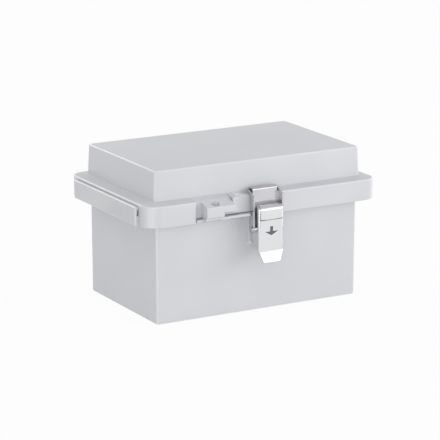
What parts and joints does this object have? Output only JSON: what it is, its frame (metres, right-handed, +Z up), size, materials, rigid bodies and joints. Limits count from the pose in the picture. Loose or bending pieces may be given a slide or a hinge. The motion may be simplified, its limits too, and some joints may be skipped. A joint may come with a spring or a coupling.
{
  "type": "hinged enclosure",
  "caption": "Hinged polycarbonate enclosure with a raised lid, wide rim flange, stainless draw latch, padlock eye and side cover strips.",
  "frame": {"origin": "centre of the underside of the base, midway between the four wall fixing holes", "axes": "+X along the long side, -Y out of the front with the latch, +Z up through the lid"},
  "size_m": [0.1884, 0.138, 0.1077],
  "materials": {
    "housing": "satin moulded light grey polycarbonate",
    "stainless": "bright rolled stainless sheet",
    "pins": "turned stainless",
    "gasket": "soft foam rubber",
    "brass": "turned brass"
  },
  "bodies": {
    "base": {"base": "housing", "left_hinge_pin": "pins", "right_hinge_pin": "pins", "latch_bracket": "stainless", "bracket_screws": "pins", "bracket_backing_plate": "stainless", "bracket_seal": "gasket", "boss_inserts": "brass"},
    "lid": {"lid": "housing", "lid_gasket": "gasket"},
    "left_strip": {"left_cover_strip": "housing"},
    "right_strip": {"right_cover_strip": "housing"},
    "lever": {"latch_lever": "stainless", "lever_pivot_pin": "pins", "left_hook_rivet": "pins", "right_hook_rivet": "pins"},
    "hook": {"latch_hook": "stainless"}
  },
  "joints": [
    {"name": "lid_hinge", "type": "hinge", "parent": "base", "child": "lid", "pos_m": [0, 0.06553, 0.073], "axis": [-1, 0, 0], "range_deg": [0, 180]},
    {"name": "left_strip_pull", "type": "slide", "parent": "lid", "child": "left_strip", "axis": [-1, 0, 0], "range_m": [0, 0.012]},
    {"name": "right_strip_pull", "type": "slide", "parent": "lid", "child": "right_strip", "axis": [1, 0, 0], "range_m": [0, 0.012]},
    {"name": "lever_swing", "type": "hinge", "parent": "base", "child": "lever", "pos_m": [0, -0.06417, 0.075], "axis": [-1, 0, 0], "range_deg": [0, 135]},
    {"name": "hook_tilt", "type": "hinge", "parent": "lever", "child": "hook", "pos_m": [0, -0.06067, 0.0613], "axis": [-1, 0, 0], "range_deg": [-150, 0]}
  ],
  "couplings": [
    {"joint": "hook_tilt", "follows": "lever_swing", "ratio": -1.1}
  ]
}
